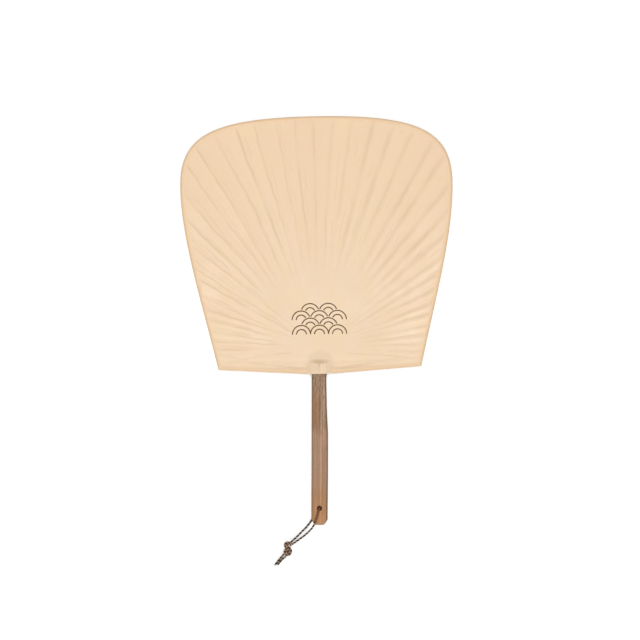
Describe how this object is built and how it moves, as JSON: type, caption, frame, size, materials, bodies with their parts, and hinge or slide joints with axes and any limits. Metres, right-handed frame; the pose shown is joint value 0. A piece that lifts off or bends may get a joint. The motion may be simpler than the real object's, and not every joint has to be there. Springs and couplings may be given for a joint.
{
  "type": "uchiwa fan",
  "caption": "Flat rigid hand fan: paper faces over split bamboo ribs, flat bamboo handle, knotted two-strand cord loop through a hole in the handle end.",
  "frame": {"origin": "middle of the fan's box, without the cord", "axes": "+X to the right seen from the front, +Y up the handle towards the top of the face, +Z out of the front of the face"},
  "size_m": [0.25, 0.4139, 0.0081],
  "materials": {
    "handle_bamboo": "smoked bamboo, satin",
    "split_bamboo": "split bamboo, raw",
    "paper": "matt washi paper",
    "binding_paper": "matt paper strip",
    "thread": "cotton thread",
    "cord": "twisted two-colour cord",
    "cord_tip": "stiffened cord end"
  },
  "bodies": {
    "fan": {"handle": "handle_bamboo", "bow": "split_bamboo", "weaving_thread": "thread", "rib_01": "split_bamboo", "rib_02": "split_bamboo", "rib_03": "split_bamboo", "rib_04": "split_bamboo", "rib_05": "split_bamboo", "rib_06": "split_bamboo", "rib_07": "split_bamboo", "rib_08": "split_bamboo", "rib_09": "split_bamboo", "rib_10": "split_bamboo", "rib_11": "split_bamboo", "rib_12": "split_bamboo", "rib_13": "split_bamboo", "rib_14": "split_bamboo", "rib_15": "split_bamboo", "rib_16": "split_bamboo", "rib_17": "split_bamboo", "rib_18": "split_bamboo", "rib_19": "split_bamboo", "rib_20": "split_bamboo", "rib_21": "split_bamboo", "rib_22": "split_bamboo", "rib_23": "split_bamboo", "rib_24": "split_bamboo", "rib_25": "split_bamboo", "rib_26": "split_bamboo", "rib_27": "split_bamboo", "rib_28": "split_bamboo", "rib_29": "split_bamboo", "rib_30": "split_bamboo", "rib_31": "split_bamboo", "rib_32": "split_bamboo", "rib_33": "split_bamboo", "rib_34": "split_bamboo", "rib_35": "split_bamboo", "rib_36": "split_bamboo", "rib_37": "split_bamboo", "front_paper": "paper", "back_paper": "paper", "rim_binding": "binding_paper", "foot_binding_right": "binding_paper", "foot_binding_left": "binding_paper"},
    "cord_loop": {"cord_front": "cord", "cord_back": "cord", "cord_knot": "cord", "cord_tail_left": "cord", "cord_tail_right": "cord", "tail_tip_left": "cord_tip", "tail_tip_right": "cord_tip"}
  },
  "joints": [
    {"name": "loop_swing", "type": "hinge", "parent": "fan", "child": "cord_loop", "pos_m": [0.00287, -0.1723, 0], "axis": [0, 0, 1], "range_deg": [-82, 157]}
  ]
}
